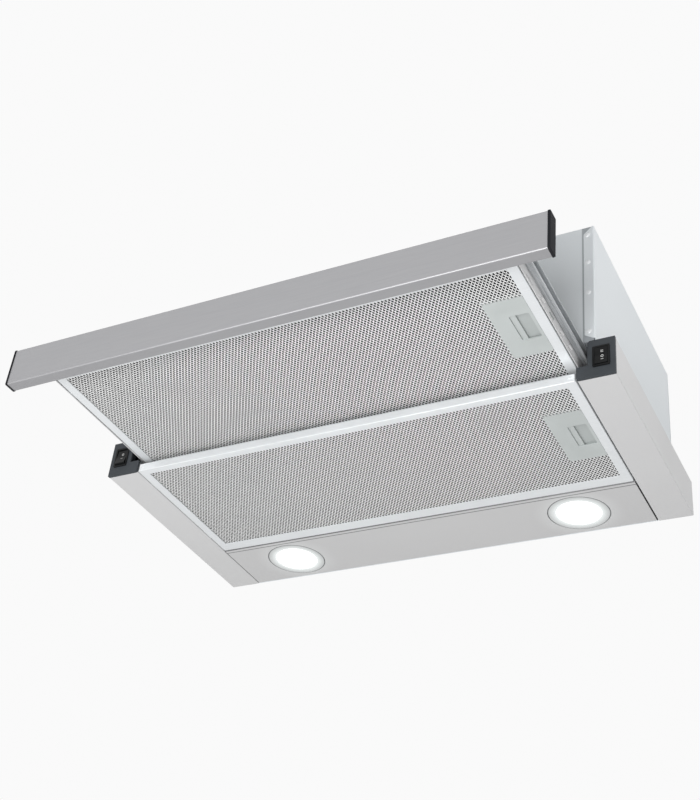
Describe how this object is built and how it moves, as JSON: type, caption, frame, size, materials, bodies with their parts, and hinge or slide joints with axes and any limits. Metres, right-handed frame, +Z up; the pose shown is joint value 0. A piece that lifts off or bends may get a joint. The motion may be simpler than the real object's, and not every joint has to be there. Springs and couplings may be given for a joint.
{
  "type": "pull out range hood",
  "caption": "Built-in range hood with a pull out visor on ball slides, tilting filter cassettes, rocker switches, lamps and a blower under a round duct outlet.",
  "frame": {"origin": "centre of the cabinet screw pattern on the casing's top face", "axes": "+X to the right seen from the front, +Y to the wall, -Y to the user and the visor's way out, +Z up"},
  "size_m": [0.6018, 0.4687, 0.238],
  "materials": {
    "casing_paint": "satin silver-grey paint",
    "skirt_paint": "satin silver-grey paint",
    "brushed_bar": "fine brushed along the bar",
    "dark_plastic": "fine grain dark grey",
    "switch_plastic": "black",
    "filter_aluminium": "mill finish",
    "handle_plastic": "grey moulded",
    "lamp_plastic": "light grey",
    "lamp_glass": "frosted diffuser",
    "slide_steel": "zinc plated",
    "blower_plastic": "dark moulded",
    "motor_metal": "die-cast",
    "gland_rubber": "matt"
  },
  "bodies": {
    "casing": {"blower_inlet_left": "blower_plastic", "blower_inlet_right": "blower_plastic", "blower_scroll": "blower_plastic", "cable_gland": "gland_rubber", "casing_front": "casing_paint", "casing_rear": "casing_paint", "casing_rivets": "filter_aluminium", "casing_screws": "slide_steel", "casing_side_left": "casing_paint", "casing_side_right": "casing_paint", "casing_top": "casing_paint", "control_box": "blower_plastic", "duct_collar": "blower_plastic", "lamp_can_left": "filter_aluminium", "lamp_can_right": "filter_aluminium", "lamp_lens_left": "lamp_glass", "lamp_lens_right": "lamp_glass", "lamp_panel": "skirt_paint", "lamp_ring_left": "lamp_plastic", "lamp_ring_right": "lamp_plastic", "motor": "motor_metal", "motor_bracket": "slide_steel", "skirt_left": "skirt_paint", "skirt_right": "skirt_paint", "slide_bracket_left": "slide_steel", "slide_bracket_right": "slide_steel", "slide_rail_left": "slide_steel", "slide_rail_right": "slide_steel", "switch_body_left": "switch_plastic", "switch_body_right": "switch_plastic", "switch_fascia_left": "dark_plastic", "switch_fascia_right": "dark_plastic"},
    "visor": {"front_bar": "brushed_bar", "bar_end_cap_left": "dark_plastic", "bar_end_cap_right": "dark_plastic", "visor_side_left": "skirt_paint", "visor_side_right": "skirt_paint", "visor_front_rail": "skirt_paint", "visor_rear_rail": "skirt_paint", "slide_runner_left": "slide_steel", "slide_runner_right": "slide_steel", "visor_screws": "slide_steel"},
    "ball_cages": {"ball_cage_left": "blower_plastic", "ball_cage_right": "blower_plastic", "slide_balls": "slide_steel"},
    "rear_filter": {"rear_filter_frame": "filter_aluminium", "rear_filter_mesh": "filter_aluminium", "rear_filter_handle": "handle_plastic"},
    "rear_filter_latch": {"rear_filter_latch": "handle_plastic"},
    "front_filter": {"front_filter_frame": "filter_aluminium", "front_filter_mesh": "filter_aluminium", "front_filter_handle": "handle_plastic"},
    "front_filter_latch": {"front_filter_latch": "handle_plastic"},
    "fan_rocker": {"fan_rocker": "switch_plastic"},
    "light_rocker": {"light_rocker": "switch_plastic"},
    "impeller": {"impeller": "blower_plastic", "impeller_blades": "blower_plastic", "motor_shaft": "slide_steel"},
    "damper_front": {"damper_flap_front": "blower_plastic"},
    "damper_rear": {"damper_flap_rear": "blower_plastic"}
  },
  "joints": [
    {"name": "visor_slide", "type": "slide", "parent": "casing", "child": "visor", "axis": [0, -1, 0], "range_m": [-0.169, 0]},
    {"name": "cage_slide", "type": "slide", "parent": "casing", "child": "ball_cages", "axis": [0, -1, 0], "range_m": [-0.0845, 0]},
    {"name": "rear_filter_tilt", "type": "hinge", "parent": "casing", "child": "rear_filter", "pos_m": [-0.2609, -0.0442, -0.1975], "axis": [0, 1, 0], "range_deg": [0, 35]},
    {"name": "front_filter_tilt", "type": "hinge", "parent": "visor", "child": "front_filter", "pos_m": [-0.2609, -0.21, -0.1795], "axis": [0, 1, 0], "range_deg": [0, 35]},
    {"name": "rear_latch_slide", "type": "slide", "parent": "rear_filter", "child": "rear_filter_latch", "axis": [-1, 0, 0], "range_m": [0, 0.005], "stiffness_N_per_m": 250, "springref_m": -0.006},
    {"name": "front_latch_slide", "type": "slide", "parent": "front_filter", "child": "front_filter_latch", "axis": [-1, 0, 0], "range_m": [0, 0.005], "stiffness_N_per_m": 250, "springref_m": -0.006},
    {"name": "fan_rocker_tilt", "type": "hinge", "parent": "casing", "child": "fan_rocker", "pos_m": [0.28575, -0.14, -0.17675], "axis": [1, 0, 0], "range_deg": [-9, 9]},
    {"name": "light_rocker_tilt", "type": "hinge", "parent": "casing", "child": "light_rocker", "pos_m": [-0.28575, -0.14, -0.17675], "axis": [1, 0, 0], "range_deg": [0, 18]},
    {"name": "impeller_spin", "type": "hinge", "parent": "casing", "child": "impeller", "pos_m": [0, 0.014, -0.076], "axis": [1, 0, 0], "continuous": true},
    {"name": "damper_front_swing", "type": "hinge", "parent": "casing", "child": "damper_front", "pos_m": [0, -0.013, 0.012], "axis": [-1, 0, 0], "range_deg": [0, 75]},
    {"name": "damper_rear_swing", "type": "hinge", "parent": "casing", "child": "damper_rear", "pos_m": [0, -0.007, 0.012], "axis": [1, 0, 0], "range_deg": [0, 75]}
  ],
  "couplings": [
    {"joint": "cage_slide", "follows": "visor_slide", "ratio": 0.5},
    {"joint": "front_filter_tilt", "follows": "rear_filter_tilt", "ratio": 1}
  ]
}
